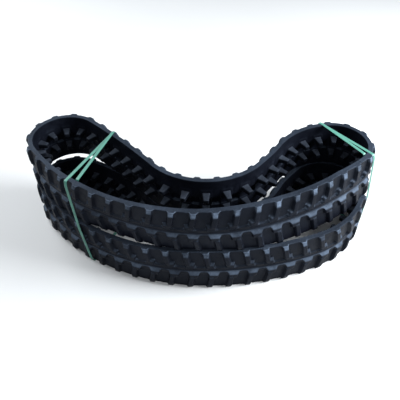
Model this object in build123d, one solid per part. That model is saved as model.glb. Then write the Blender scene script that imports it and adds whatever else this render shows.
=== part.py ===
"""Two endless rubber tracks of a small excavator, folded, stacked on edge and strapped.

Each track is a rubber carcass moulded around one iron core per link and two bands of steel
cord. Seen from above, a track is a closed run of tangent arcs: the middle of its thickness.
A place on a track is its station, the distance along that run, counted here in links.
Around the loop the carcass is divided into stretches that hinge on each other where the
belt can flex. All the stretches that the straps hold still are one rigid body.
"""

import math
import os

from build123d import *

# Belt (mm)
LINK = 72.0
LINKS = 46
BELT_WIDTH = 190.0
BELT_THICKNESS = 18.0
STACK_GAP = 0.4
FLEX_GAP = 2.0
OPEN_PIVOT_GAP = 3.2

# Tread lugs (mm along or across the belt, or in links along it)
LUG_HEIGHT = 13.0
LUG_SINK = 2.5
BAR_BASE = 28.0
BAR_TIP = 15.0
BAR_END_HEIGHT = 3.0
BAR_END_SLOPE = 17.0
FOOT_LENGTH = 30.0
FOOT_TIP = 20.0
FOOT_INNER = 12.0
FOOT_OUTER = 38.0
FOOT_HEIGHT = 11.5
FOOT_LAG = 0.10

# Iron cores (mm)
CORE_LENGTH = 24.0
CORE_SPAN = 128.0
CORE_BOTTOM = -7.0
CORE_TOP = 1.0
HORN_HEIGHT = 38.0
HORN_INNER = 20.0
HORN_OUTER = 42.0
HORN_TAPER = 4.0
HORN_ROOT = 29.0
HORN_TIP = 18.0

# Sprocket pockets between the cores, and steel cord bands (mm)
POCKET_LENGTH = 30.0
POCKET_WIDTH = 34.0
POCKET_DEPTH = 11.0
CORD_INNER = 46.0
CORD_OUTER = 84.0
CORD_LOW = 3.0
CORD_HIGH = 5.4

# Straps (mm)
STRAP_WIDTH = 12.0
STRAP_THICKNESS = 1.0

# Whole bundle
TIER = BELT_WIDTH + STACK_GAP
STACK_HEIGHT = TIER + BELT_WIDTH
HALF_WIDTH = BELT_WIDTH / 2
HALF_THICKNESS = BELT_THICKNESS / 2
STRAP_REACH = HALF_THICKNESS + LUG_HEIGHT + 0.3


class Track:
    """One belt: its outline, its tier in the stack and where its pattern starts."""

    def __init__(self, name, start, arcs, tier, direction, phase, stretches):
        self.name = name
        self.start = start
        self.arcs = close_loop(arcs)
        self.middle_height = tier * TIER + HALF_WIDTH
        self.direction = direction
        self.phase = phase
        self.stretches = stretches

    def at(self, station):
        """The point and heading (radians) of the belt's middle line, station in links."""
        left = (station % LINKS) * LINK
        x, y = self.start
        heading = 0.0
        for length, turn in self.arcs:
            run = min(left, length)
            angle = turn * run / length
            chord = run * math.sin(angle / 2) / (angle / 2) if angle else run
            x += chord * math.cos(heading + angle / 2)
            y += chord * math.sin(heading + angle / 2)
            heading += angle
            left -= run
            if left <= 0:
                break
        return x, y, heading

    def point(self, station, outward):
        """A point of the plan, outward mm outside the belt's middle line."""
        x, y, heading = self.at(station)
        return x + outward * math.sin(heading), y - outward * math.cos(heading)

    def frame(self, station, height=0.0):
        """Local frame: x along the belt, y to the inside of the loop, z up."""
        x, y, heading = self.at(station)
        along = (math.cos(heading), math.sin(heading), 0)
        return Plane((x, y, self.middle_height + height), x_dir=along, z_dir=(0, 0, 1))

    def breaks(self, first, last):
        """The stations between first and last where one arc of the outline meets the next."""
        found = [first]
        for whole_turn in (0, LINKS):
            joint = whole_turn
            for length, _ in self.arcs:
                joint += length / LINK
                if first + 0.01 < joint < last - 0.01:
                    found.append(joint)
        return sorted(found) + [last]

    def strip(self, first, last, inner, outer, bottom, top):
        """A band of the belt between two stations, inner to outer, bottom to top."""
        ends = self.breaks(first, last)
        edges = []
        for outward in (inner, outer):
            for a, b in zip(ends, ends[1:]):
                places = [self.point(s, outward) for s in (a, (a + b) / 2, b)]
                edges.append(ThreePointArc(*places))
        for end in (first, last):
            edges.append(Line(self.point(end, inner), self.point(end, outer)))
        face = Face(Wire.combine([e.edge() for e in edges])[0])
        solid = extrude(face, amount=top - bottom, dir=(0, 0, 1))
        return solid.moved(Location((0, 0, self.middle_height + bottom)))


def close_loop(arcs):
    """Arcs as (length, turn in radians), their lengths trimmed so that the run closes.

    The chord of an arc of fixed turn grows with its length, so the two closing conditions
    and the whole length are linear in the lengths of three of the arcs.
    """
    total_turn = sum(turn for _, turn in arcs)
    arcs = [(length, math.radians(turn * 360 / total_turn)) for length, turn in arcs]
    heading, steps = 0.0, []
    for _, turn in arcs:
        chord = math.sin(turn / 2) / (turn / 2)
        middle = heading + turn / 2
        steps.append((chord * math.cos(middle), chord * math.sin(middle), 1.0))
        heading += turn
    missing = [
        (LINKS * LINK if axis == 2 else 0.0)
        - sum(length * step[axis] for (length, _), step in zip(arcs, steps))
        for axis in range(3)
    ]
    trimmed = (0, 2, 6)
    columns = [steps[i] for i in trimmed]
    whole = determinant(columns)
    lengths = [length for length, _ in arcs]
    for place, index in enumerate(trimmed):
        swapped = columns[:place] + [missing] + columns[place + 1 :]
        lengths[index] += determinant(swapped) / whole
    return [(length, turn) for length, (_, turn) in zip(lengths, arcs)]


def determinant(m):
    """Determinant of three vectors of three numbers."""
    return (
        m[0][0] * (m[1][1] * m[2][2] - m[1][2] * m[2][1])
        - m[1][0] * (m[0][1] * m[2][2] - m[0][2] * m[2][1])
        + m[2][0] * (m[0][1] * m[1][2] - m[0][2] * m[1][1])
    )


# Outlines: the start is the front of the bundle, and each arc is (length mm, turn degrees),
# positive to the left. In order: front to the right, two arcs of the right end, right flank,
# hollow of the back, left flank, left end, and front from the left.
UPPER = Track(
    "upper",
    start=(-9.6, -257.1),
    arcs=[
        (687, 45.8),
        (308, 141.4),
        (247, 49.5),
        (153, -9.4),
        (433, -96.7),
        (373, 8.3),
        (384, 167.0),
        (728, 54.0),
    ],
    tier=1,
    direction=1,
    phase=0.65,
    stretches={
        "front_left": (40.08, 45.08),
        "front_middle": (45.08, 50.08),
        "front_right": (50.08, 55.08),
        "right_end": (9.08, 17.08),
        "back": (17.08, 29.08),
        "left_back": (29.08, 32.08),
        "left_end": (32.08, 36.08),
        "left_front": (36.08, 39.08),
        "strapped_front": (39.08, 40.08),
    },
)
LOWER = Track(
    "lower",
    start=(15.8, -284.9),
    arcs=[
        (440, 23.4),
        (306, 49.3),
        (380, 153.9),
        (183, 10.0),
        (595, -111.1),
        (344, 32.7),
        (324, 149.6),
        (741, 52.4),
    ],
    tier=0,
    direction=-1,
    phase=0.31,
    stretches={
        "front_left": (39.88, 44.88),
        "front_middle": (44.88, 50.88),
        "front_right": (50.88, 55.88),
        "right_end": (9.88, 17.88),
        "back": (17.88, 29.88),
        "left_back": (29.88, 32.88),
        "left_end": (32.88, 35.88),
        "left_front": (35.88, 38.88),
        "strapped_front": (38.88, 39.88),
    },
)

# The stations, in links and in the pattern's own direction, of one lug of each half of the
# tread (outer end of the bar, inner end of the bar), and of one core.
LUG_ENDS = {1: (0.12, 0.00), -1: (0.36, 0.19)}
CORE_PLACE = 0.67
POCKET_PLACE = CORE_PLACE - 0.5


def pattern_stations(track, place, first, last, reach):
    """Stations of a repeated feature that comes within reach links of a stretch."""
    offset = (track.phase + track.direction * place) % 1.0
    start = math.ceil(first - reach - offset)
    stop = math.floor(last + reach - offset)
    return [k + offset for k in range(start, stop + 1)]


def bar_section(along, height, across, base, tip):
    """A trapezoid of the bar in plan, at a height across the belt."""
    root = -HALF_THICKNESS + LUG_SINK
    crest = -HALF_THICKNESS - height
    corners = [
        (along - base / 2, root),
        (along + base / 2, root),
        (along + tip / 2, crest),
        (along - tip / 2, crest),
    ]
    return Pos(0, 0, across) * Polygon(*corners, align=None)


def lug(track, station, half):
    """One lug: a bar that leans along the belt and ends near the middle in a wide foot."""
    outer, inner = LUG_ENDS[half]
    side = half * track.direction
    lean = (outer - inner) * LINK * track.direction
    foot_reach = FOOT_OUTER - 4.0
    sections = [
        bar_section(lean / 2, BAR_END_HEIGHT, side * (HALF_WIDTH - 1), BAR_BASE, BAR_TIP),
        bar_section(
            lean * 0.3, LUG_HEIGHT, side * (HALF_WIDTH - BAR_END_SLOPE), BAR_BASE, BAR_TIP
        ),
        bar_section(-lean / 2, LUG_HEIGHT, side * foot_reach, BAR_BASE, BAR_TIP),
    ]
    bar = loft(sections, ruled=True)
    middle_of_bar = track.frame(station)
    foot_station = station - track.direction * ((outer - inner) / 2 + FOOT_LAG)
    foot_sections = [
        bar_section(0, FOOT_HEIGHT - 2, side * FOOT_INNER, FOOT_LENGTH, FOOT_TIP),
        bar_section(0, FOOT_HEIGHT, side * (FOOT_INNER + 4), FOOT_LENGTH, FOOT_TIP),
        bar_section(0, FOOT_HEIGHT - 6, side * FOOT_OUTER, FOOT_LENGTH, FOOT_TIP),
    ]
    foot = loft(foot_sections, ruled=True)
    return middle_of_bar.location * bar, track.frame(foot_station).location * foot


def tread(track, first, last):
    """The lugs of a stretch; a lug that crosses its end is cut off there."""
    zone = track.strip(first, last, -12, 40, -HALF_WIDTH, HALF_WIDTH)
    pieces = []
    for half, (outer, inner) in LUG_ENDS.items():
        for station in pattern_stations(track, (outer + inner) / 2, first, last, 0.45):
            for piece in lug(track, station, half):
                crosses = station < first + 0.55 or station > last - 0.55
                kept = piece & zone if crosses else piece
                pieces += kept.solids() if kept else []
    return pieces


def core(track, station):
    """One iron core: a plate in the rubber and two guide horns on the inside of the loop."""
    plate = Pos(0, -(CORE_BOTTOM + CORE_TOP) / 2, 0) * Box(
        CORE_LENGTH, CORE_TOP - CORE_BOTTOM, CORE_SPAN
    )
    solid = plate
    for side in (1, -1):
        middle = side * (HORN_INNER + HORN_OUTER) / 2
        width = HORN_OUTER - HORN_INNER
        root = Plane((0, -CORE_BOTTOM - 1, middle), x_dir=(1, 0, 0), z_dir=(0, 1, 0))
        crest = root.offset(HORN_HEIGHT + HALF_THICKNESS + CORE_BOTTOM + 1)
        horn = loft(
            [
                root * Rectangle(HORN_ROOT, width),
                crest * Rectangle(HORN_TIP, width - HORN_TAPER),
            ]
        )
        solid = solid + horn
    return track.frame(station).location * solid


def pocket(track, station):
    """The blind pocket that a sprocket tooth enters, from the inside of the loop."""
    depth = POCKET_DEPTH + 4
    block = Pos(0, HALF_THICKNESS - POCKET_DEPTH + depth / 2, 0)
    return track.frame(station).location * (block * Box(POCKET_LENGTH, depth, POCKET_WIDTH))


def stretch_ends(track, stretch):
    """First and last station of a stretch, less half of the gap at each end."""
    first, last = track.stretches[stretch]
    gaps = [FLEX_GAP, FLEX_GAP]
    if stretch in ("left_front", "front_right"):
        gaps[1] = OPEN_PIVOT_GAP
    return first + gaps[0] / 2 / LINK, last - gaps[1] / 2 / LINK


def make_stretch(track, stretch, straps):
    """The carcass, cores and cord bands of one stretch, each as a list of solids."""
    first, last = stretch_ends(track, stretch)
    cores = [core(track, s) for s in pattern_stations(track, CORE_PLACE, first, last, 0)]
    pockets = [
        pocket(track, s) for s in pattern_stations(track, POCKET_PLACE, first, last, 0)
    ]
    cords = [
        track.strip(first, last, CORD_LOW, CORD_HIGH, *sorted((side * a, side * b)))
        for side, a, b in ((1, CORD_INNER, CORD_OUTER), (-1, CORD_INNER, CORD_OUTER))
    ]
    carcass = track.strip(
        first, last, -HALF_THICKNESS, HALF_THICKNESS, -HALF_WIDTH, HALF_WIDTH
    )
    carcass = carcass.fuse(*tread(track, first, last))
    carcass = carcass.cut(*cores, *pockets, *cords)
    if stretch in ("strapped_front", "back", "right_end"):
        carcass = carcass.cut(*straps)
    return carcass.solids(), cores, cords


def crossing(track, origin, level, near):
    """Where a level line crosses the outer side of a track's lugs, near a station."""

    def side(station):
        x, y = track.point(station, STRAP_REACH)
        return level.X * (y - origin.Y) - level.Y * (x - origin.X)

    low, high = near - 1.6, near + 1.6
    for _ in range(40):
        middle = (low + high) / 2
        if side(low) * side(middle) <= 0:
            high = middle
        else:
            low = middle
    return low


def convex_corners(points):
    """The corners of the tightest closed loop round some points of a plane."""
    ordered = sorted(points)
    loop = []
    for row in (ordered, ordered[::-1]):
        chain = []
        for x, y in row:
            while len(chain) > 1:
                (ax, ay), (bx, by) = chain[-2:]
                if (bx - ax) * (y - ay) - (by - ay) * (x - ax) > 0:
                    break
                chain.pop()
            chain.append((x, y))
        loop += chain[:-1]
    return loop


class Strap:
    """A flat band pulled tight round both tracks, with a loose tail tucked inside."""

    def __init__(self, name, front, back, lean, tail):
        self.name = name
        self.front = front
        self.back = back
        self.tail = tail
        self.corner = Vector(*UPPER.point(front, STRAP_REACH), STACK_HEIGHT)
        back_corner = Vector(*UPPER.point(back, STRAP_REACH), STACK_HEIGHT)
        self.level = (back_corner - self.corner).normalized()
        self.across = self.level.cross(Vector(0, 0, 1))
        tilt = math.radians(lean)
        self.slope = self.across * math.sin(tilt) - Vector(0, 0, 1) * math.cos(tilt)

    def place(self, along, height):
        """The point at a distance along the level direction, at a height."""
        drop = (height - STACK_HEIGHT) / self.slope.Z
        return self.corner + self.slope * drop + self.level * along

    def ring_corners(self):
        """The inside of the band, as (distance along, distance down the slope)."""
        edge = HALF_THICKNESS + BAR_END_HEIGHT + 0.3
        heights = [
            (LOWER, STRAP_THICKNESS, edge),
            (LOWER, BAR_END_SLOPE, STRAP_REACH),
            (LOWER, BELT_WIDTH - BAR_END_SLOPE, STRAP_REACH),
            (UPPER, TIER + BAR_END_SLOPE, STRAP_REACH),
            (UPPER, STACK_HEIGHT - BAR_END_SLOPE, STRAP_REACH),
            (UPPER, STACK_HEIGHT, edge),
        ]
        corners = []
        for track, height, reach in heights:
            origin = self.place(0, height)
            for near in (self.front, self.back):
                station = crossing(track, origin, self.level, near)
                x, y = track.point(station, reach)
                along = (Vector(x, y, height) - origin).dot(self.level)
                corners.append((along, (height - STACK_HEIGHT) / self.slope.Z))
        return convex_corners(corners)

    def solid(self):
        """The closed ring of the band, its width level, and the tail."""
        plane = Plane(self.corner, x_dir=self.level, z_dir=self.level.cross(self.slope))
        hole = Polygon(*self.ring_corners(), align=None)
        rim = offset(hole, amount=STRAP_THICKNESS, kind=Kind.ARC)
        start = Location(self.across * (-STRAP_WIDTH / 2))
        ring = extrude((plane * (rim - hole)).moved(start), amount=STRAP_WIDTH, dir=self.across)
        return ring + self.tail_solid()

    def tail_solid(self):
        """The loose end: from the upper run down to the inner side of the front wall."""
        along, station, end_height = self.tail
        start = self.place(along, STACK_HEIGHT + STRAP_THICKNESS)
        wall = Vector(*UPPER.point(station, -HALF_THICKNESS - 1.5), STACK_HEIGHT - 6)
        end = Vector(wall.X, wall.Y, end_height)
        level = Vector(wall.X - start.X, wall.Y - start.Y, 0)
        plane = Plane(start, x_dir=level.normalized(), z_dir=level.cross(Vector(0, 0, 1)))
        line = Polyline(*[plane.to_local_coords(p) for p in (start, wall, end)])
        profile = plane * trace(line, line_width=STRAP_THICKNESS)
        return extrude(profile, amount=STRAP_WIDTH / 2, both=True)


def make_straps():
    """Both straps, each as one solid."""
    left = Strap("left_strap", 39.20, 28.89, lean=10.0, tail=(130.0, 39.55, 335.0))
    right = Strap("right_strap", 10.01, 14.19, lean=7.0, tail=(95.0, 9.88, 335.0))
    return {s.name: s.solid().solids() for s in (left, right)}


def build():
    """Every node of the bundle as a list of solids, before it is centred."""
    nodes = make_straps()
    straps = [solid for solids in nodes.values() for solid in solids]
    for track in (LOWER, UPPER):
        for stretch in track.stretches:
            carcass, cores, cords = make_stretch(track, stretch, straps)
            name = track.name + "_" + stretch
            nodes[name + "_rubber"] = carcass
            nodes[name + "_cores"] = cores
            nodes[name + "_cords"] = cords
    return nodes


def centring(nodes):
    """The move that puts the middle of the plan at the origin."""
    boxes = [s.bounding_box() for solids in nodes.values() for s in solids]
    middle = [
        (min(tuple(b.min)[i] for b in boxes) + max(tuple(b.max)[i] for b in boxes)) / 2
        for i in range(2)
    ]
    return Location((-middle[0], -middle[1], 0))


def main():
    os.makedirs("parts", exist_ok=True)
    nodes = build()
    move = centring(nodes)
    print("moved by", move.position)
    for name, solids in nodes.items():
        whole = Compound(children=[solid.moved(move) for solid in solids])
        export_step(whole, os.path.join("parts", name + ".step"))


if __name__ == "__main__":
    main()
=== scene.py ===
"""Looks of two folded, stacked and strapped rubber tracks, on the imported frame.

Sizes are millimetres until the meshes are made, which are metres. A place on a belt has a
station, in links along the outline, and a distance across the belt, up from its middle. The
tread's pattern has its own pair of coordinates: links along it, and a distance across it that
is negative on the lower half of the upper track. The lower track lies the other way up, so
there the negative side is its upper half. A pair of numbers that says where a shape rises,
falls or fades gives the two places between which it does so.
"""

import math

import bpy
import numpy as np
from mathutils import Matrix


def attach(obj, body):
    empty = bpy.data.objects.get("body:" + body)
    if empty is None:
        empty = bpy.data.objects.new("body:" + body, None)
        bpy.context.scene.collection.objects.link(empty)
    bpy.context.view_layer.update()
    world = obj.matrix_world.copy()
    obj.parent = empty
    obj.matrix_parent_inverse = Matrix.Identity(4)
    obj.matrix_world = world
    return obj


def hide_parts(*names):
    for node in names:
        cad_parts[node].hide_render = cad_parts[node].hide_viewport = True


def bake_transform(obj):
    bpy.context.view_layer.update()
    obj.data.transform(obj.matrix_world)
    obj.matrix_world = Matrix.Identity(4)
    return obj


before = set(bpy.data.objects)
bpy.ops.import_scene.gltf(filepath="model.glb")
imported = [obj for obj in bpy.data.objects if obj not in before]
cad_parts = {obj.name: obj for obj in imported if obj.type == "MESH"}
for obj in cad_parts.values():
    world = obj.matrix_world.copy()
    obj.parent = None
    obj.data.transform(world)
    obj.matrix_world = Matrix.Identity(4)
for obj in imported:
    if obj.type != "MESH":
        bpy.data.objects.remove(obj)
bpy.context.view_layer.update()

# The belts, as in the CAD source, which moves them by CENTRING to stand over the origin
LINK = 72.0
LINKS = 46
BELT_WIDTH = 190.0
STACK_GAP = 0.4
HALF_WIDTH = BELT_WIDTH / 2
HALF_THICKNESS = 9.0
CENTRING = (3.11265, 7.52059)

# Bars of the tread. LUG_ENDS holds the places of a bar's outer and inner end in the link, in
# links, for each half of the belt.
LUG_HEIGHT = 13.0
LUG_ROOT = 2.5
BAR_HALF_TIP = 7.5
BAR_FLANK = 6.5
BAR_END_HEIGHT = 7.5
BAR_END_SLOPE = 17.0
BAR_END_FALL = (HALF_WIDTH - BAR_END_SLOPE - 3.0, HALF_WIDTH + 2.0)
BAR_HALF_END = 9.0
BAR_FLARE_FROM = 64.0
BAR_INNER = 34.0
BAR_INNER_RISE = (26.0, BAR_INNER)
LUG_ENDS = {1: (0.12, 0.00), -1: (0.36, 0.19)}

# Feet between the bars, each with an arch in it, and the rib along the middle. The arch's wall
# rises over shares of the arch's radius, and a foot lags behind the bars by links.
ARCH_HALF_WIDTH = 20.0
ARCH_TOP = 10.0
ARCH_SPRING = 34.0
ARCH_WALL = (0.88, 1.22)
FOOT_INNER = 4.0
FOOT_SLOPE = 16.0
FOOT_OUTER = 46.0
FOOT_HEIGHT = 11.5
FOOT_LAG = 0.10
RIB_HEIGHT = 3.5
RIB_RISE = (5.0, 9.0)
RIB_FALL = (15.0, 22.0)

# How softly heights run into each other
BAR_TO_FOOT = 3.0
TREAD_TO_RIB = 1.0
TREAD_TO_BELT = 1.6

# Painted highlights: where up-facing slopes are painted pale, as if catching the light, and how
# pale.
# The highlight at a bar's end fades round its own border, and a foot's over shares of its slope.
END_HIGHLIGHT_HALF_INNER = 6.0
END_HIGHLIGHT_HALF_OUTER = 16.0
END_HIGHLIGHT_FADE = (-3.0, 2.0)
END_HIGHLIGHT_RISE = (BAR_FLARE_FROM, 77.0)
FOOT_HIGHLIGHT = 0.55
FOOT_HIGHLIGHT_RISE = (0.05, 0.3)
FOOT_HIGHLIGHT_FALL = (0.8, 1.1)
HEEL_HIGHLIGHT = 0.9
HEEL_ALONG_RISE = (4.0, 9.0)
HEEL_ALONG_FALL = (18.0, 24.0)
HEEL_ACROSS_RISE = (20.0, 24.0)
HEEL_ACROSS_FALL = (40.0, 46.0)

# Inside of the loop: sprocket pockets, pads and the places of the iron cores
CORE_PLACE = 0.67
POCKET_PLACE = 0.17
POCKET_HALF_LENGTH = 15.0
POCKET_HALF_WIDTH = 17.0
POCKET_CORNER = 4.0
POCKET_WALL = (2.0, 5.0)
POCKET_DEPTH = 10.5
PAD_HEIGHT = 2.0
PAD_ALONG_FALL = (17.0, 24.0)
PAD_ACROSS_RISE = (10.0, 15.0)
PAD_ACROSS_FALL = (50.0, 58.0)

# Horns
HORN_HEIGHT = 38.0
HORN_MIDDLE = 31.0
HORN_ROOT = (29.0, 22.0)
HORN_TIP = (18.0, 18.0)
HORN_TILT = 0.6
# (height over the belt, length and width over the root's, corner radius)
HORN_FLARE = [(-1.5, 3.4, 7.0, 7.0), (0.6, 3.4, 3.5, 6.0), (3.5, 1.2, 1.2, 5.0)]
HORN_BODY_SHARES = (0.2, 0.5, 0.8, 0.93)
HORN_BODY_RADIUS = 4.0
# (depth under the crown, length and width under the tip's, corner radius)
HORN_CROWN = [(0.7, 1.6, 3.4), (0.0, 5.0, 2.6)]
CORNER_STEPS = 4

# Straps
STRAP_WIDTH = 12.0
STRAP_THICKNESS = 1.0
STRAP_ROLL = 1.0
STRAP_RIB = 0.18
STRAP_TAIL = 48.0
STRAP_STEP = 3.0
STRAP_OVER_EDGE = 0.5
STRAP_OVER_CREST = 0.7
RING_CORNER = 5.0
TAIL_CORNER = 6.0
TAIL_CLEARANCE = 2.0
TAIL_RISE = 1.0
CORNER_SHARE = 0.45
CURVE_SHARES = (0.0, 0.25, 0.5, 0.75, 1.0)
SEARCH_REACH = 1.6
SEARCH_COUNT = 1281

# Mesh density, and the least room for a column beside a cut, as a share of a column's step
COLUMNS_PER_LINK = 28
END_COLUMN_ROOM = 0.3
SHARP_ANGLE = math.radians(38)

# Gap at an opened pivot in mm, and in links: how far from it the columns turn to lie along the
# bars, how far either side of its hinge a bending piece finds two points that nothing uses, and
# how much of the back goes with the next piece
OPEN_CUT = 1.2
CUT_FADE = (0.0, 0.9)
BLEND_REACH = 0.5
BACK_BEND = 1.0

# Arcs whose lengths are trimmed to close an outline
TRIMMED_ARCS = [0, 2, 6]
SEED = 7

# Stage, in metres, watts and degrees: each light is (name, place, size, power, colour)
FLOOR_REACH = 12.0
WORLD_COLOUR = (0.86, 0.93, 1.0, 1.0)
WORLD_STRENGTH = 0.15
LIGHTS = [
    ("key", (2.7, -0.2, 1.75), 1.7, 215.0, (0.93, 0.97, 1.0)),
    ("fill", (-0.6, -2.2, 2.2), 2.0, 22.0, (0.96, 0.98, 1.0)),
    ("back", (-2.6, 1.6, 2.4), 2.6, 105.0, (0.93, 0.97, 1.0)),
]
CAMERA_PLACE = (-0.0056, -1.35635, 1.51873)
CAMERA_DOWN = 44.908
CAMERA_SENSOR = 36.0
CAMERA_LENS = 43.302

MM = 0.001


class Track:
    """One belt: its outline as tangent arcs, its tier, its pattern, breaks and lean.

    An arc is (length, turn in degrees). A break is the station where a stretch begins. A row of
    the lean is (station, then how far out of the upright the belt stands there at its lower
    edge, its middle and its upper edge).
    """

    def __init__(self, name, start, arcs, tier, direction, phase, breaks, lean):
        self.name = name
        self.lean_stations, self.lower_edges, self.middles, self.upper_edges = np.array(lean).T
        self.lengths, self.turns = close_loop(arcs)
        self.middle_height = tier * (BELT_WIDTH + STACK_GAP) + HALF_WIDTH
        self.direction = direction
        self.phase = phase
        self.breaks = breaks
        ends = np.concatenate([[0.0], np.cumsum(self.lengths)])
        headings = np.concatenate([[0.0], np.cumsum(self.turns)])
        corners = [np.array(start) + CENTRING]
        for length, turn, heading in zip(self.lengths, self.turns, headings):
            chord = length * math.sin(turn / 2) / (turn / 2)
            middle = heading + turn / 2
            step = np.array([math.cos(middle), math.sin(middle)]) * chord
            corners.append(corners[-1] + step)
        self.ends, self.headings, self.corners = ends, headings, np.array(corners)

    def at(self, station):
        """Middle-line points and headings at stations (an array), in mm and radians."""
        run = np.mod(station, LINKS) * LINK
        arc = np.clip(np.searchsorted(self.ends, run, side="right") - 1, 0, len(self.turns) - 1)
        part = run - self.ends[arc]
        turn = self.turns[arc] * part / self.lengths[arc]
        chord = part * np.sinc(turn / 2 / np.pi)
        middle = self.headings[arc] + turn / 2
        x = self.corners[arc, 0] + chord * np.cos(middle)
        y = self.corners[arc, 1] + chord * np.sin(middle)
        return x, y, self.headings[arc] + turn

    def place(self, station, outward, across):
        """Points in metres: outward of the middle line, across the belt from its middle."""
        x, y, heading = self.at(station)
        outward = outward + self.lean(station, across)
        px = x + outward * np.sin(heading)
        py = y - outward * np.cos(heading)
        pz = self.middle_height + across + 0 * px
        return np.stack([px, py, pz], axis=-1) * MM

    def lean(self, station, across):
        """How far out of the upright the leaning belt stands, in mm."""
        run = np.mod(station, LINKS)
        lower = np.interp(run, self.lean_stations, self.lower_edges, period=LINKS)
        middle = np.interp(run, self.lean_stations, self.middles, period=LINKS)
        upper = np.interp(run, self.lean_stations, self.upper_edges, period=LINKS)
        share = across / HALF_WIDTH
        bulge = (upper + lower) / 2 - middle
        return middle + (upper - lower) / 2 * share + bulge * share**2

    def pattern(self, station, across):
        """Coordinates in the tread's pattern: links along it, mm across it."""
        return self.direction * (station - self.phase), self.direction * across

    def stations(self, place, first, last):
        """Stations of a feature that repeats once a link, between two stations."""
        offset = (self.phase + self.direction * place) % 1.0
        return np.arange(math.ceil(first - offset), math.floor(last - offset) + 1) + offset


def close_loop(arcs):
    """Arc lengths and turns, three arcs trimmed so that the outline closes at its length."""
    lengths = np.array([length for length, _ in arcs], float)
    turns = np.radians(np.array([turn for _, turn in arcs], float))
    turns *= 2 * math.pi / turns.sum()
    middles = np.cumsum(turns) - turns / 2
    chords = np.sin(turns / 2) / (turns / 2)
    steps = np.stack([chords * np.cos(middles), chords * np.sin(middles), np.ones(len(arcs))])
    missing = np.array([0, 0, LINKS * LINK]) - steps @ lengths
    lengths[TRIMMED_ARCS] += np.linalg.solve(steps[:, TRIMMED_ARCS], missing)
    return lengths, turns


UPPER = Track(
    "upper",
    start=(-9.6, -257.1),
    arcs=[
        (687, 45.8),
        (308, 141.4),
        (247, 49.5),
        (153, -9.4),
        (433, -96.7),
        (373, 8.3),
        (384, 167.0),
        (728, 54.0),
    ],
    tier=1,
    direction=1,
    phase=0.65,
    breaks={
        "right_end": 9.08,
        "back": 17.08,
        "left_back": 29.08,
        "left_end": 32.08,
        "left_front": 36.08,
        "strapped_front": 39.08,
        "front_left": 40.08,
        "front_middle": 45.08,
        "front_right": 50.08,
        "end": 55.08,
    },
    lean=[
        (0.0, 5.0, 12.0, 6.0),
        (1.0, 8.0, 12.0, 2.0),
        (2.0, 14.0, 10.0, -2.0),
        (3.0, 18.0, 8.0, -6.0),
        (4.0, 18.0, 5.0, -10.2),
        (5.0, 15.0, 2.0, -12.0),
        (6.0, 14.0, 0.5, -13.7),
        (7.6, 16.5, 0.0, -16.5),
        (9.4, 12.0, 3.0, -6.0),
        (10.8, 12.0, 5.0, -2.0),
        (11.6, 0.0, 0.0, 0.0),
        (14.5, 0.0, 0.0, 0.0),
        (16.0, -4.0, -2.0, 0.0),
        (17.2, -4.0, -2.0, 0.0),
        (17.9, 0.0, 0.0, 0.0),
        (40.0, 0.0, 0.0, 0.0),
        (41.0, -12.5, -4.0, 2.0),
        (42.0, -10.0, -2.0, 4.0),
        (43.0, -5.0, 1.0, 5.0),
        (44.0, 2.0, 6.0, 5.0),
        (45.0, 6.0, 9.0, 6.0),
    ],
)
LOWER = Track(
    "lower",
    start=(15.8, -284.9),
    arcs=[
        (440, 23.4),
        (306, 49.3),
        (380, 153.9),
        (183, 10.0),
        (595, -111.1),
        (344, 32.7),
        (324, 149.6),
        (741, 52.4),
    ],
    tier=0,
    direction=-1,
    phase=0.31,
    breaks={
        "right_end": 9.88,
        "back": 17.88,
        "left_back": 29.88,
        "left_end": 32.88,
        "left_front": 35.88,
        "strapped_front": 38.88,
        "front_left": 39.88,
        "front_middle": 44.88,
        "front_right": 50.88,
        "end": 55.88,
    },
    lean=[
        (0.0, 0.0, -3.0, -9.0),
        (2.0, 0.0, -3.0, -8.0),
        (3.0, 0.0, -2.0, -7.0),
        (4.5, 0.0, 0.0, -4.0),
        (6.5, 0.0, 0.0, -1.5),
        (8.0, 0.0, 0.0, 0.0),
        (14.0, 0.0, 0.0, 0.0),
        (15.5, 0.0, 2.5, 5.0),
        (17.2, 0.0, 2.5, 5.0),
        (17.9, 0.0, 0.0, 0.0),
        (42.5, 0.0, 0.0, 0.0),
        (44.5, 0.0, -2.0, -6.0),
    ],
)
HELD_STRETCHES = ("right_end", "back", "strapped_front")


# Shapes of the tread and of the inside, as heights in mm over the flat belt


def ramp(value, low, high):
    """Smooth step from 0 at low to 1 at high."""
    t = np.clip((value - low) / (high - low), 0, 1)
    return t * t * (3 - 2 * t)


def hump(value, rise, fall):
    """1 between a rise and a fall, each a pair of places, and 0 outside them."""
    return ramp(value, *rise) * (1 - ramp(value, *fall))


def link_offset(links):
    """Links from a feature, turned into mm from its nearest repeat."""
    return (links - np.round(links)) * LINK


def soft_max(a, b, softness):
    """The larger of two heights, with a rounded corner where they meet."""
    mix = np.clip(0.5 + 0.5 * (a - b) / softness, 0, 1)
    return b + (a - b) * mix + softness * mix * (1 - mix)


def bar_shift(across, half):
    """How far along the pattern a bar's middle has leaned at a distance across."""
    outer, inner = LUG_ENDS[half]
    share = np.clip((np.abs(across) - BAR_INNER) / (HALF_WIDTH - BAR_INNER), 0, 1)
    return (outer - inner) * share


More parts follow.
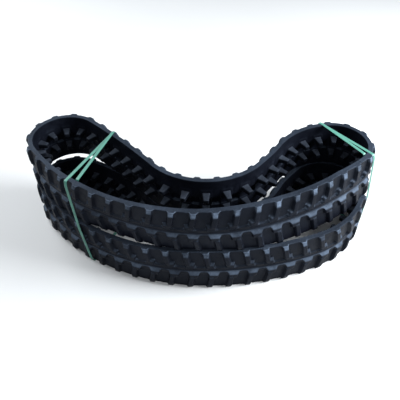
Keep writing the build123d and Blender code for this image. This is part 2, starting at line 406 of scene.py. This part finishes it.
def bars(along, across, half):
    """Height of the bars over one half of the belt, and the painted highlight at their outer
    ends.
    """
    inner = LUG_ENDS[half][1]
    off = np.abs(link_offset(along - inner - bar_shift(across, half)))
    flare = np.clip((across - BAR_FLARE_FROM) / (HALF_WIDTH - BAR_FLARE_FROM), 0, 1)
    tip = BAR_HALF_TIP + (BAR_HALF_END - BAR_HALF_TIP) * flare
    crest = LUG_HEIGHT - (LUG_HEIGHT - BAR_END_HEIGHT) * ramp(across, *BAR_END_FALL)
    height = crest - np.maximum(off - tip, 0) / BAR_FLANK * (crest + LUG_ROOT)
    height = height - (crest + LUG_ROOT) * (1 - ramp(across, *BAR_INNER_RISE))
    highlight_half = END_HIGHLIGHT_HALF_INNER + (END_HIGHLIGHT_HALF_OUTER - END_HIGHLIGHT_HALF_INNER) * flare
    low, high = END_HIGHLIGHT_FADE
    painted_highlight = (1 - ramp(off, highlight_half + low, highlight_half + high)) * ramp(across, *END_HIGHLIGHT_RISE)
    return height, painted_highlight


def feet(along, across, half):
    """Height of the feet between the bars of one half, and the painted highlights on their
    slopes.
    """
    off = link_offset(along - LUG_ENDS[half][1] + FOOT_LAG - 0.5)
    rise = np.maximum(ARCH_SPRING - across, 0) / (ARCH_SPRING - ARCH_TOP)
    wall = ramp(np.hypot(np.abs(off) / ARCH_HALF_WIDTH, rise), *ARCH_WALL)
    slope = np.clip((across - FOOT_INNER) / FOOT_SLOPE, 0, 1)
    share = wall * slope * (1 - ramp(across, ARCH_SPRING, FOOT_OUTER))
    height = (FOOT_HEIGHT + LUG_ROOT) * share - LUG_ROOT
    foot_highlight = wall * hump(slope, FOOT_HIGHLIGHT_RISE, FOOT_HIGHLIGHT_FALL)
    heel_highlight = hump(off, HEEL_ALONG_RISE, HEEL_ALONG_FALL)
    heel_highlight = heel_highlight * hump(across, HEEL_ACROSS_RISE, HEEL_ACROSS_FALL)
    return height, FOOT_HIGHLIGHT * foot_highlight, HEEL_HIGHLIGHT * heel_highlight


def half_tread(along, across, half):
    """Height of one half of the tread, and where its slopes are painted pale as a highlight."""
    bar, end_highlight = bars(along, across, half)
    foot, foot_highlight, heel_highlight = feet(along, across, half)
    rib = RIB_HEIGHT * hump(across, RIB_RISE, RIB_FALL)
    height = soft_max(soft_max(bar, foot, BAR_TO_FOOT), rib, TREAD_TO_RIB)
    return height, np.maximum(np.maximum(end_highlight, foot_highlight), heel_highlight)


def tread(along, across):
    """Height of the whole tread over the outer side of the carcass, and its painted highlight.
    """
    halves = [half_tread(along, side * across, side) for side in (1, -1)]
    height, painted_highlight = (np.where(across >= 0, a, b) for a, b in zip(*halves))
    return soft_max(height, 0.0, TREAD_TO_BELT), painted_highlight


def inner_height(along, across):
    """Height over the inner side: pads under the horns, less the sprocket pockets."""
    sideways = np.abs(across)
    off = np.abs(link_offset(along - POCKET_PLACE))
    past_length = np.maximum(off - POCKET_HALF_LENGTH + POCKET_CORNER, 0)
    past_width = np.maximum(sideways - POCKET_HALF_WIDTH + POCKET_CORNER, 0)
    pocket = POCKET_DEPTH * (1 - ramp(np.hypot(past_length, past_width), *POCKET_WALL))
    off = np.abs(link_offset(along - CORE_PLACE))
    pad = PAD_HEIGHT * (1 - ramp(off, *PAD_ALONG_FALL))
    pad = pad * hump(sideways, PAD_ACROSS_RISE, PAD_ACROSS_FALL)
    return pad - pocket


# Section of the belt as a closed ring: distances across of the rows on its two wide sides, how
# far the outermost of them are rounded off, and (across, level) of the rows on an edge. Edge
# rows over EDGE_WITH_TREAD move with the tread.

OUTER_ROWS = [0, 4, 8, 11, 13, 15, 17, 20, 23, 27, 31, 34, 36, 38, 40, 42, 46, 52, 58, 64]
OUTER_ROWS += [70, 74, 77, 80, 84, 88, 91, 93, 94.4]
INNER_ROWS = [0, 6, 11, 13, 15, 17, 19, 24, 32, 42, 50, 54, 58, 66, 75, 84, 91, 93.5]
EDGE_ROWS = [(94.9, 7.4), (95.0, 3.0), (94.5, 0.0), (95.0, -3.0), (94.8, -7.8)]
OUTER_ROUNDING = 0.6
INNER_ROUNDING = 0.5
EDGE_WITH_TREAD = 5.0


def mirrored(rows):
    """Rows of both halves, from the most negative to the most positive."""
    return [-r for r in rows[:0:-1]] + list(rows)


def side_rows(distances, kind, rounding):
    """(across, kind, rounding) of the rows on a wide side: only the outermost are rounded."""
    edge = distances[-1]
    return [(r, kind, rounding if abs(r) == edge else 0.0) for r in mirrored(distances)]


def ring_rows():
    """(across, kind, level) of the ring: outer side, top edge, inner side, bottom edge."""
    rows = side_rows(OUTER_ROWS, "outer", OUTER_ROUNDING)
    rows += [(across, "edge", level) for across, level in EDGE_ROWS]
    rows += side_rows(INNER_ROWS, "inner", INNER_ROUNDING)[::-1]
    rows += [(-across, "edge", level) for across, level in EDGE_ROWS[::-1]]
    return rows


def ring_points(track, columns, open_ends):
    """Grid of points, one row of the grid per column of the belt, and their painted highlight.
    """
    rows = ring_rows()
    across = np.array([row[0] for row in rows])[None, :]
    columns = np.array(columns)[:, None]
    pattern_across = track.direction * across
    slant = np.where(pattern_across >= 0, bar_shift(across, 1), bar_shift(across, -1))
    fade = np.ones_like(columns)
    for end in open_ends:
        fade = fade * ramp(np.abs(columns - end), *CUT_FADE)
    stations = columns + track.direction * slant * fade
    along, sideways = track.pattern(stations, across)
    height, painted_highlight = tread(along, sideways)
    inside = inner_height(along, sideways)
    outward = np.zeros_like(height)
    for j, (_, kind, level) in enumerate(rows):
        if kind == "outer":
            outward[:, j] = HALF_THICKNESS + height[:, j] - level
        elif kind == "inner":
            outward[:, j] = -HALF_THICKNESS - inside[:, j] + level
        else:
            outward[:, j] = level + (height[:, j] if level > EDGE_WITH_TREAD else 0.0)
    outer_side = np.array([kind == "outer" for _, kind, _ in rows])
    return track.place(stations, outward, across), np.where(outer_side, painted_highlight, 0.0)


def mesh_object(name, points, faces, painted_highlight=None):
    """A smooth-shaded mesh object from points in metres."""
    mesh = bpy.data.meshes.new(name)
    mesh.from_pydata(points.tolist(), [], faces)
    mesh.validate()
    mesh.shade_smooth()
    mesh.set_sharp_from_angle(angle=SHARP_ANGLE)
    if painted_highlight is not None:
        # The mask of the painted highlight on up-facing slopes, read by the rubber's shader.
        attribute = mesh.attributes.new("painted_highlight", "FLOAT", "POINT")
        attribute.data.foreach_set("value", painted_highlight.astype(np.float32))
    made = bpy.data.objects.new(name, mesh)
    bpy.context.scene.collection.objects.link(made)
    return made


def grid_faces(columns, rows):
    """Quads of a closed ring of rows swept along columns, with a cap at each end."""
    faces = []
    for i in range(columns - 1):
        a, b = i * rows, (i + 1) * rows
        for j in range(rows):
            k = (j + 1) % rows
            faces.append((a + j, b + j, b + k, a + k))
    last = (columns - 1) * rows
    faces.append(tuple(range(rows)))
    faces.append(tuple(last + j for j in range(rows - 1, -1, -1)))
    return faces


def belt_piece(track, name, first, last, open_ends):
    """A length of belt between two stations, cut straight across at its open ends."""
    offset = track.phase % 1.0
    step = 1 / COLUMNS_PER_LINK
    lowest = math.ceil((first - offset) / step + END_COLUMN_ROOM)
    inner = np.arange(lowest, (last - offset) / step - END_COLUMN_ROOM)
    columns = [first] + list(inner * step + offset) + [last]
    points, painted_highlight = ring_points(track, columns, open_ends)
    faces = grid_faces(len(columns), points.shape[1])
    return mesh_object(name, points.reshape(-1, 3), faces, painted_highlight.ravel())


# Horns


def rounded_rectangle(length, width, radius):
    """Points of a rounded rectangle, counter-clockwise."""
    points = []
    for quarter in range(4):
        sx = (1, -1, -1, 1)[quarter]
        sy = (1, 1, -1, -1)[quarter]
        for k in range(CORNER_STEPS + 1):
            angle = math.pi / 2 * (quarter + k / CORNER_STEPS)
            x = sx * (length / 2 - radius) + radius * math.cos(angle)
            y = sy * (width / 2 - radius) + radius * math.sin(angle)
            points.append((x, y))
    return points


def horn_levels():
    """(height over the belt, length, width, corner radius) up a horn, flare to crown."""
    levels = []
    for height, more_length, more_width, radius in HORN_FLARE:
        levels.append((height, HORN_ROOT[0] + more_length, HORN_ROOT[1] + more_width, radius))
    for share in HORN_BODY_SHARES:
        length, width = (root + (tip - root) * share for root, tip in zip(HORN_ROOT, HORN_TIP))
        levels.append((HORN_HEIGHT * share, length, width, HORN_BODY_RADIUS))
    for depth, less, radius in HORN_CROWN:
        levels.append((HORN_HEIGHT - depth, HORN_TIP[0] - less, HORN_TIP[1] - less, radius))
    return levels


def horn_mesh(track, station, side, rng):
    """Points and faces of one horn, skinned in rubber, at a station."""
    points = []
    x, y, heading = (float(v) for v in track.at(np.array(station)))
    tilt = rng.uniform(-HORN_TILT, HORN_TILT)
    levels = horn_levels()
    for height, length, width, radius in levels:
        for px, py in rounded_rectangle(length, width, radius):
            across = side * HORN_MIDDLE + py
            inward = HALF_THICKNESS + height - float(track.lean(station, across))
            along = px + tilt * height / HORN_HEIGHT
            points.append(
                (
                    x + along * math.cos(heading) - inward * math.sin(heading),
                    y + along * math.sin(heading) + inward * math.cos(heading),
                    track.middle_height + across,
                )
            )
    return np.array(points) * MM, grid_faces(len(levels), len(points) // len(levels))


def horns(track, stretch, first, last, rng):
    """All the horns of one stretch as one object."""
    points, faces = [], []
    for station in track.stations(CORE_PLACE, first, last):
        for side in (1, -1):
            new_points, new_faces = horn_mesh(track, station, side, rng)
            start = sum(len(p) for p in points)
            points.append(new_points)
            faces += [tuple(start + i for i in face) for face in new_faces]
    name = f"{track.name}_{stretch}_horns"
    return mesh_object(name, np.concatenate(points), faces)


# Materials


def new_material(name):
    """A material, its node tree and its Principled shader."""
    material = bpy.data.materials.new(name)
    material.use_nodes = True
    tree = material.node_tree
    return material, tree, tree.nodes["Principled BSDF"]


def noise(tree, scale, detail=4.0, roughness=0.55):
    """A noise texture in object coordinates."""
    place = tree.nodes.new("ShaderNodeTexCoord")
    node = tree.nodes.new("ShaderNodeTexNoise")
    node.inputs["Scale"].default_value = scale
    node.inputs["Detail"].default_value = detail
    node.inputs["Roughness"].default_value = roughness
    tree.links.new(place.outputs["Object"], node.inputs["Vector"])
    return node.outputs["Fac"]


def mapped(tree, value, low, high, to_low=0.0, to_high=1.0):
    """A value mapped from one range to another, clamped."""
    node = tree.nodes.new("ShaderNodeMapRange")
    node.inputs["From Min"].default_value = low
    node.inputs["From Max"].default_value = high
    node.inputs["To Min"].default_value = to_low
    node.inputs["To Max"].default_value = to_high
    tree.links.new(value, node.inputs["Value"])
    return node.outputs["Result"]


def maths(tree, operation, a, b):
    """A maths node on two values, each a socket or a number."""
    node = tree.nodes.new("ShaderNodeMath")
    node.operation = operation
    for socket, value in zip(node.inputs, (a, b)):
        if isinstance(value, (int, float)):
            socket.default_value = value
        else:
            tree.links.new(value, socket)
    return node.outputs[0]


def mixed(tree, factor, a, b):
    """A colour between two colours, each a socket or three numbers."""
    node = tree.nodes.new("ShaderNodeMix")
    node.data_type = "RGBA"
    tree.links.new(factor, node.inputs["Factor"])
    for key, value in (("A", a), ("B", b)):
        socket = [s for s in node.inputs if s.name == key and s.type == "RGBA"][0]
        if isinstance(value, tuple):
            socket.default_value = (*value, 1.0)
        else:
            tree.links.new(value, socket)
    return [s for s in node.outputs if s.type == "RGBA"][0]


def bump(tree, shader, height, strength, distance):
    """A bump of a height socket on the shader."""
    node = tree.nodes.new("ShaderNodeBump")
    node.inputs["Strength"].default_value = strength
    node.inputs["Distance"].default_value = distance
    tree.links.new(height, node.inputs["Height"])
    tree.links.new(node.outputs["Normal"], shader.inputs["Normal"])


def facing_up(tree):
    """How far a surface faces up: 0 for walls and undersides, 1 for level tops."""
    geometry = tree.nodes.new("ShaderNodeNewGeometry")
    split = tree.nodes.new("ShaderNodeSeparateXYZ")
    tree.links.new(geometry.outputs["Normal"], split.inputs["Vector"])
    return mapped(tree, split.outputs["Z"], 0.15, 0.95)


def rubber_material(name, dark, pale, dust_and_sheen, dust_and_sheen_share, highlight_colour=None):
    """Moulded black rubber: mottled, paler where it faces up from dust and a painted sheen,
    painted highlights on slopes.
    """
    material, tree, shader = new_material(name)
    patches = mapped(tree, noise(tree, scale=7.0), 0.35, 0.7)
    fine = mapped(tree, noise(tree, scale=60.0, detail=6.0), 0.3, 0.75)
    colour = mixed(tree, maths(tree, "MULTIPLY", patches, fine), dark, pale)
    up = facing_up(tree)
    # Dust and painted sheen: faces that look up are painted a paler blue-grey, partly settled
    # dust and partly the sky light they would catch.
    specks = mapped(tree, noise(tree, scale=240.0, detail=3.0, roughness=0.7), 0.45, 0.62)
    dust_and_sheen_mask = maths(tree, "MULTIPLY", up, mapped(tree, patches, 0.0, 1.0, to_low=0.45))
    dust_and_sheen_mask = maths(tree, "MULTIPLY", dust_and_sheen_mask, mapped(tree, specks, 0.0, 1.0, to_low=0.65))
    dust_and_sheen_mask = maths(tree, "MULTIPLY", dust_and_sheen_mask, dust_and_sheen_share)
    colour = mixed(tree, dust_and_sheen_mask, colour, dust_and_sheen)
    # Painted highlight: pale patches on the up-facing slopes of bar ends, feet and heels stand
    # for light catching them.
    if highlight_colour:
        painted_highlight = tree.nodes.new("ShaderNodeAttribute")
        painted_highlight.attribute_name = "painted_highlight"
        share = maths(tree, "MULTIPLY", painted_highlight.outputs["Fac"], mapped(tree, up, 0.0, 0.35))
        highlight_breakup = noise(tree, scale=13.0, detail=6.0, roughness=0.7)
        uneven = mapped(tree, highlight_breakup, 0.40, 0.62, to_low=0.22)
        share = maths(tree, "MULTIPLY", share, uneven)
        colour = mixed(tree, share, colour, highlight_colour)
    tree.links.new(colour, shader.inputs["Base Color"])
    rough = mapped(tree, fine, 0.0, 1.0, to_low=0.40, to_high=0.62)
    tree.links.new(rough, shader.inputs["Roughness"])
    shader.inputs["Specular IOR Level"].default_value = 0.09
    shader.inputs["Specular Tint"].default_value = (0.60, 0.76, 1.0, 1.0)
    grain = noise(tree, scale=900.0, detail=5.0, roughness=0.65)
    bump(tree, shader, grain, strength=0.35, distance=0.0006)
    return material


def strap_material():
    """Green polyester strapping, embossed with a pattern of small cells, painted paler where it
    faces up.
    """
    material, tree, shader = new_material("strap_green")
    place = tree.nodes.new("ShaderNodeTexCoord")
    turned = tree.nodes.new("ShaderNodeMapping")
    turned.inputs["Rotation"].default_value = (0.6, 0.7, 0.8)
    tree.links.new(place.outputs["Object"], turned.inputs["Vector"])
    cells = tree.nodes.new("ShaderNodeTexVoronoi")
    cells.inputs["Scale"].default_value = 420.0
    cells.inputs["Randomness"].default_value = 0.1
    tree.links.new(turned.outputs["Vector"], cells.inputs["Vector"])
    dots = mapped(tree, cells.outputs["Distance"], 0.1, 0.6)
    mottle = mapped(tree, noise(tree, scale=40.0), 0.3, 0.7)
    colour = mixed(tree, mottle, (0.018, 0.13, 0.095), (0.035, 0.20, 0.15))
    up = facing_up(tree)
    # Painted light: faces that look up are painted a paler green, as if lit from above.
    colour = mixed(tree, maths(tree, "MULTIPLY", up, 0.55), colour, (0.17, 0.42, 0.34))
    tree.links.new(colour, shader.inputs["Base Color"])
    rough = mapped(tree, dots, 0.0, 1.0, to_low=0.28, to_high=0.45)
    tree.links.new(rough, shader.inputs["Roughness"])
    shader.inputs["Coat Weight"].default_value = 0.15
    bump(tree, shader, dots, strength=0.5, distance=0.0004)
    return material


def paint(made, material):
    """Gives a piece its material."""
    made.data.materials.clear()
    made.data.materials.append(material)


# The bundle


def body_name(track, stretch):
    """The CAD body that a stretch belongs to."""
    return "bundle" if stretch in HELD_STRETCHES else f"{track.name}_{stretch}"


def moulded_nodes(track, *stretches):
    """Names of the carcass nodes of some stretches, and of the cords sealed in them."""
    return [
        f"{track.name}_{stretch}_{kind}" for stretch in stretches for kind in ("rubber", "cords")
    ]


def bending_piece(track, before, after, first, last, material, open_ends):
    """A length of belt across the hinge where the stretch `after` begins."""
    hinge = track.breaks[after]
    made = belt_piece(track, f"{track.name}_{before}_to_{after}", first, last, open_ends)
    paint(made, material)
    ends = [track.place(np.array(hinge + side * BLEND_REACH), 0.0, 0.0) for side in (-1, 1)]
    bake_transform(made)
    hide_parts(*moulded_nodes(track, before, after))


def held_piece(track, stretch, first, last, material, open_ends=()):
    """A length of belt that the straps hold still."""
    made = belt_piece(track, f"{track.name}_{stretch}", first, last, open_ends)
    paint(made, material)
    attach(made, "bundle")
    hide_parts(*moulded_nodes(track, stretch))


def bending_run(track, stretches, first, last, material, open_ends):
    """The belt between two stations, in lengths that each lie across one hinge."""
    breaks = track.breaks
    borders = [first]
    for stretch, following in zip(stretches[1:], stretches[2:]):
        borders.append((breaks[stretch] + breaks[following]) / 2)
    borders.append(last)
    for before, after, start, end in zip(stretches, stretches[1:], borders, borders[1:]):
        cuts = [station for station in (start, end) if station in open_ends]
        bending_piece(track, before, after, start, end, material, cuts)


def build_track(track, rubber, horn_skin, rng):
    """Every piece of one track."""
    b = track.breaks
    cut = OPEN_CUT / 2 / LINK
    start = b["right_end"] + cut
    left_end, left_start = b["strapped_front"] - cut, b["strapped_front"] + cut
    end = b["end"] - cut
    back_end = b["left_back"] - BACK_BEND
    left = ["back", "left_back", "left_end", "left_front"]
    front = ["strapped_front", "front_left", "front_middle", "front_right"]
    held_piece(track, "right_end", start, b["back"], rubber, open_ends=[start])
    held_piece(track, "back", b["back"], back_end, rubber)
    bending_run(track, left, back_end, left_end, rubber, open_ends=[left_end])
    bending_run(track, front, left_start, end, rubber, open_ends=[left_start, end])
    names = list(b)
    for stretch, following in zip(names, names[1:]):
        made = horns(track, stretch, b[stretch], b[following], rng)
        paint(made, horn_skin)
        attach(made, body_name(track, stretch))
        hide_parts(f"{track.name}_{stretch}_cores")


class Strap:
    """A flat band pulled tight round both tracks in a sloping plane, with a loose tail.

    It crosses the upper track at the stations front, back and, with its tail, tail_station. The
    plane leans out by some degrees. Its level line runs along `level`, square to `across`.
    """

    def __init__(self, name, front, back, lean, tail_station):
        self.name = name
        self.front, self.back = front, back
        self.tail_station = tail_station
        edge = HALF_THICKNESS + BAR_END_HEIGHT
        self.corner = UPPER.place(np.array(front), edge, HALF_WIDTH) / MM
        self.top = float(self.corner[2])
        level = UPPER.place(np.array(back), edge, HALF_WIDTH) / MM - self.corner
        self.length = np.linalg.norm(level)
        self.level = level / self.length
        self.across = np.array([self.level[1], -self.level[0], 0.0])
        self.slope = self.across * math.tan(math.radians(lean))

    def origin(self, height):
        """The start of the plane's level line at a height, in mm."""
        return self.corner + self.slope * (self.top - height) + (0, 0, height - self.top)

    def reach(self, track, across, outward, near):
        """(distance along, height) where the plane meets a belt near a station."""
        stations = np.linspace(near - SEARCH_REACH, near + SEARCH_REACH, SEARCH_COUNT)
        points = track.place(stations, outward, across) / MM
        origin = self.origin(points[0, 2])
        offset = (points - origin) @ self.across
        turns = np.nonzero(np.sign(offset[1:]) != np.sign(offset[:-1]))[0]
        best = turns[np.argmin(np.abs(stations[turns] - near))]
        return float((points[best] - origin) @ self.level), float(points[best, 2])

    def ring(self):
        """Corners of the tight band, as (distance along, height), in order round it."""
        corners = []
        edge = HALF_THICKNESS + BAR_END_HEIGHT + STRAP_OVER_EDGE
        crest = HALF_THICKNESS + LUG_HEIGHT + STRAP_OVER_CREST
        for track in (LOWER, UPPER):
            for across in (-HALF_WIDTH, HALF_WIDTH):
                for near in (self.front, self.back):
                    corners.append(self.reach(track, across, edge, near))
                    inner = across * (1 - BAR_END_SLOPE / HALF_WIDTH)
                    corners.append(self.reach(track, inner, crest, near))
        return convex_hull(corners)

    def point(self, along, height):
        """A point of the plane, in mm."""
        return self.origin(height) + self.level * along


def convex_hull(points):
    """Corners of the convex hull of plane points, counter-clockwise."""
    points = sorted(set(points))
    hull = []
    for run in (points, points[::-1]):
        part = []
        for x, y in run:
            while len(part) > 1:
                (ax, ay), (bx, by) = part[-2:]
                if (bx - ax) * (y - ay) - (by - ay) * (x - ax) > 0:
                    break
                part.pop()
            part.append((x, y))
        hull += part[:-1]
    return hull


def rounded_path(corners, radius, closed):
    """A path of plane points with each corner replaced by a short curve."""
    points = np.array(corners, float)
    count = len(points)
    path = []
    for i in range(count):
        if not closed and i in (0, count - 1):
            path.append(points[i])
            continue
        back, here, ahead = points[i - 1], points[i], points[(i + 1) % count]
        near = []
        for other in (back, ahead):
            share = min(CORNER_SHARE, radius / np.linalg.norm(other - here))
            near.append(here + (other - here) * share)
        for t in CURVE_SHARES:
            path.append(near[0] * (1 - t) ** 2 + here * 2 * t * (1 - t) + near[1] * t**2)
    return subdivided(np.array(path), closed)


def subdivided(path, closed):
    """The path with points added so that no step is longer than STRAP_STEP."""
    made = []
    ends = len(path) if closed else len(path) - 1
    for i in range(ends):
        start, end = path[i], path[(i + 1) % len(path)]
        steps = max(1, math.ceil(np.linalg.norm(end - start) / STRAP_STEP))
        made += [start + (end - start) * k / steps for k in range(steps)]
    if not closed:
        made.append(path[-1])
    return np.array(made)


def band_section():
    """(across, level in thicknesses, share of the rib) round the band, with rolled edges."""
    half = STRAP_WIDTH / 2
    flat = half - STRAP_ROLL
    right = [(half / 2, 1, 1), (flat, 1, 0), (half, 0.75, 0), (half, 0.25, 0)]
    left = [(-across, level, ribbed) for across, level, ribbed in right[::-1]]
    return left + [(0, 1, 0)] + right + [(flat, 0, 0), (-flat, 0, 0)]


def band(path, side, closed):
    """Points and faces of a flat band along a path of points in mm."""
    ahead = np.roll(path, -1, axis=0) - path
    behind = path - np.roll(path, 1, axis=0)
    if not closed:
        ahead[-1], behind[0] = behind[-1], ahead[0]
    along = ahead / np.linalg.norm(ahead, axis=1)[:, None]
    along = along + behind / np.linalg.norm(behind, axis=1)[:, None]
    out = np.cross(along, side)
    out = out / np.linalg.norm(out, axis=1)[:, None]
    crests = 1 + np.cos(np.arange(len(path)) * math.pi)
    rib = STRAP_RIB * STRAP_THICKNESS * crests[:, None]
    section = band_section()
    rings = []
    for across, level, ribbed in section:
        rings.append(path + side * across + out * (level * STRAP_THICKNESS + ribbed * rib))
    points = np.stack(rings, axis=1)
    rows = len(section)
    faces = grid_faces(len(path), rows)
    if closed:
        faces = faces[:-2]
        last = (len(path) - 1) * rows
        faces += [(last + j, j, (j + 1) % rows, last + (j + 1) % rows) for j in range(rows)]
    return points.reshape(-1, 3), faces


def build_strap(strap, material):
    """The tight ring and the loose tail of one strap as one piece."""
    ring = rounded_path(strap.ring()[::-1], RING_CORNER, True)
    path = np.array([strap.point(along, height) for along, height in ring])
    points, faces = band(path, strap.across, True)
    start = strap.point(strap.length - STRAP_WIDTH, strap.top + 2 * STRAP_THICKNESS)
    inside = -HALF_THICKNESS - TAIL_CLEARANCE
    wall = UPPER.place(np.array(strap.tail_station), inside, HALF_WIDTH) / MM
    wall[2] += TAIL_RISE
    end = wall + (0, 0, -STRAP_TAIL)
    level = (wall - start) * (1, 1, 0)
    level = level / np.linalg.norm(level)
    side = np.array([level[1], -level[0], 0.0])
    flat = [((p - start) @ level, p[2]) for p in (start, wall, end)]
    foot = start * (1, 1, 0)
    tail = rounded_path(flat, TAIL_CORNER, False)
    path = np.array([foot + level * along + (0, 0, height) for along, height in tail])
    more_points, more_faces = band(path[::-1], -side, False)
    faces += [tuple(len(points) + i for i in face) for face in more_faces]
    all_points = np.concatenate([points, more_points]) * MM
    made = mesh_object(f"{strap.name}_band", all_points, faces)
    paint(made, material)
    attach(made, "bundle")
    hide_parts(strap.name)


def build_straps(material):
    """Both straps."""
    left = Strap("left_strap", front=39.20, back=28.89, lean=10.0, tail_station=39.62)
    right = Strap("right_strap", front=10.01, back=14.19, lean=2.0, tail_station=9.80)
    for strap in (left, right):
        build_strap(strap, material)


def build_stage():
    """Pale floor, soft light and the camera, which looks down to the back."""
    material, tree, shader = new_material("floor_paint")
    colour = mixed(tree, noise(tree, scale=1.5), (0.86, 0.86, 0.86), (0.90, 0.90, 0.90))
    tree.links.new(colour, shader.inputs["Base Color"])
    shader.inputs["Roughness"].default_value = 0.9
    signs = np.array([(-1, -1, 0), (1, -1, 0), (1, 1, 0), (-1, 1, 0)], float)
    floor = mesh_object("floor", signs * FLOOR_REACH, [(0, 1, 2, 3)])
    paint(floor, material)

    world = bpy.data.worlds.new("studio")
    bpy.context.scene.world = world
    world.use_nodes = True
    background = world.node_tree.nodes["Background"]
    background.inputs["Color"].default_value = WORLD_COLOUR
    background.inputs["Strength"].default_value = WORLD_STRENGTH

    for light in LIGHTS:
        area_light(*light)

    lens = bpy.data.cameras.new("camera")
    lens.sensor_width = CAMERA_SENSOR
    lens.lens = CAMERA_LENS
    camera = bpy.data.objects.new("camera", lens)
    right, ahead, up = CAMERA_PLACE
    camera.location = (right + CENTRING[0] * MM, ahead + CENTRING[1] * MM, up)
    camera.rotation_euler = (math.radians(90 - CAMERA_DOWN), 0.0, 0.0)
    bpy.context.scene.collection.objects.link(camera)
    bpy.context.scene.camera = camera
    bpy.context.scene.view_settings.view_transform = "Standard"


def area_light(name, place, size, power, colour):
    """A square soft light aimed at the floor under the middle of the bundle."""
    light = bpy.data.lights.new(name, "AREA")
    light.size = size
    light.energy = power
    light.color = colour
    lamp = bpy.data.objects.new(name, light)
    lamp.location = place
    aim = -lamp.location
    lamp.rotation_euler = aim.to_track_quat("-Z", "Y").to_euler()
    bpy.context.scene.collection.objects.link(lamp)


def main():
    """Both tracks, the straps and the stage."""
    rng = np.random.default_rng(SEED)
    rubber = rubber_material(
        "track_rubber",
        dark=(0.0035, 0.0042, 0.0075),
        pale=(0.010, 0.012, 0.019),
        # This colour is partly dust and partly a painted sky sheen on faces that look up.
        dust_and_sheen=(0.10, 0.13, 0.18),
        dust_and_sheen_share=0.45,
        # The next colour is a painted highlight on the up-facing slopes of the tread.
        highlight_colour=(0.15, 0.195, 0.27),
    )
    horn_skin = rubber_material(
        "horn_rubber",
        dark=(0.004, 0.005, 0.008),
        pale=(0.012, 0.014, 0.020),
        # This colour is partly dust and partly a painted sky sheen on faces that look up.
        dust_and_sheen=(0.10, 0.12, 0.16),
        dust_and_sheen_share=0.45,
    )
    for track in (LOWER, UPPER):
        build_track(track, rubber, horn_skin, rng)
    build_straps(strap_material())
    build_stage()


main()
